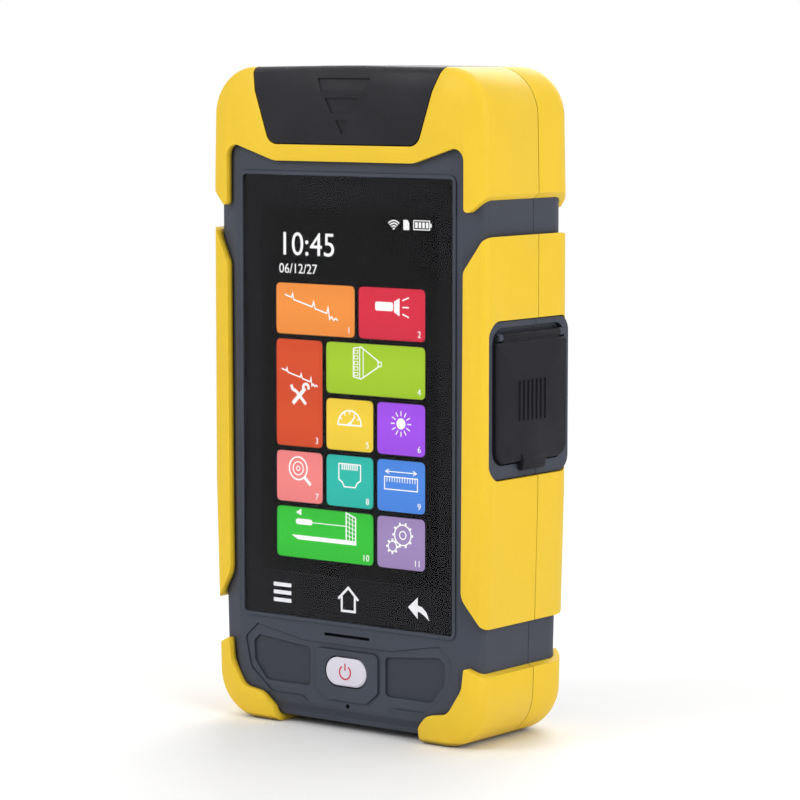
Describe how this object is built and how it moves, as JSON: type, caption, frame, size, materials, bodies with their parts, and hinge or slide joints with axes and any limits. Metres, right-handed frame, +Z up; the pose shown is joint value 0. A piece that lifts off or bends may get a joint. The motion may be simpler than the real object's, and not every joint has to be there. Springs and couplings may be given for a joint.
{
  "type": "optical time domain reflectometer",
  "caption": "Handheld fibre and cable tester: upright clamshell case with corner bumpers, colour touch screen, hinged port lid, side socket flaps, power button and rear stand.",
  "frame": {"origin": "bottom centre, where the feet stand", "axes": "+X to the right of someone facing the screen, +Y from the screen to the back, +Z up along the case"},
  "size_m": [0.0904, 0.04, 0.1684],
  "materials": {
    "shell_grey": "fine moulded texture",
    "bumper_yellow": "soft satin elastomer",
    "lid_black": "fine moulded texture",
    "flap_rubber": "matt moulded rubber",
    "lens_glass": "polished",
    "mask_black": "printed black",
    "lcd_glass": "dark panel",
    "button_white": "satin moulded",
    "sheet_metal": "folded sheet",
    "steel": "plain",
    "nickel": "nickel plated",
    "board_green": "solder mask",
    "inner_black": "moulded",
    "fibre_yellow": "coated fibre",
    "cell_blue": "shrink sleeve",
    "copper": "contact strip"
  },
  "bodies": {
    "case": {"backlight_frame": "sheet_metal", "battery_cells": "cell_blue", "battery_contacts": "copper", "battery_door": "shell_grey", "battery_door_screw": "steel", "battery_lead": "copper", "board_screws": "steel", "card_socket": "sheet_metal", "case_screws": "steel", "charging_socket": "sheet_metal", "fault_locator_adapter": "nickel", "fibre_coil": "fibre_yellow", "fibre_spool": "inner_black", "front_shell": "shell_grey", "key_board": "board_green", "kickstand_pin": "steel", "lcd_panel": "lcd_glass", "lcd_ribbon": "inner_black", "left_flap_pin": "steel", "left_foot_bumper_front": "bumper_yellow", "left_foot_bumper_rear": "bumper_yellow", "left_side_bumper_front": "bumper_yellow", "left_side_bumper_rear": "bumper_yellow", "lens_mask": "mask_black", "lid_hinge_pin": "steel", "main_board": "board_green", "network_socket": "inner_black", "optical_module": "sheet_metal", "otdr_adapter": "nickel", "pigtail_fibres": "fibre_yellow", "port_tray": "inner_black", "power_meter_adapter": "nickel", "power_switch": "inner_black", "rear_shell": "shell_grey", "right_flap_pin": "steel", "right_foot_bumper_front": "bumper_yellow", "right_foot_bumper_rear": "bumper_yellow", "right_side_bumper_front": "bumper_yellow", "right_side_bumper_rear": "bumper_yellow", "screen_lens": "lens_glass", "shield_can": "sheet_metal", "speaker": "inner_black", "top_bumper_front": "bumper_yellow", "top_bumper_rear": "bumper_yellow", "usb_socket": "sheet_metal"},
    "lid": {"port_lid": "lid_black"},
    "left_flap": {"left_port_flap": "flap_rubber"},
    "right_flap": {"right_port_flap": "flap_rubber"},
    "button": {"power_button": "button_white"},
    "stand": {"kickstand": "lid_black"}
  },
  "joints": [
    {"name": "lid_hinge", "type": "hinge", "parent": "case", "child": "lid", "pos_m": [0, 0.0134, 0.1642], "axis": [-1, 0, 0], "range_deg": [0, 110]},
    {"name": "right_flap_hinge", "type": "hinge", "parent": "case", "child": "right_flap", "pos_m": [0.0432, 0, 0.1022], "axis": [0, -1, 0], "range_deg": [0, 115]},
    {"name": "left_flap_hinge", "type": "hinge", "parent": "case", "child": "left_flap", "pos_m": [-0.0432, 0, 0.1022], "axis": [0, 1, 0], "range_deg": [0, 115]},
    {"name": "button_press", "type": "slide", "parent": "case", "child": "button", "axis": [0, 1, 0], "range_m": [0, 0.0008], "stiffness_N_per_m": 600},
    {"name": "stand_hinge", "type": "hinge", "parent": "case", "child": "stand", "pos_m": [0, 0.0167, 0.132], "axis": [1, 0, 0], "range_deg": [0, 60]}
  ]
}
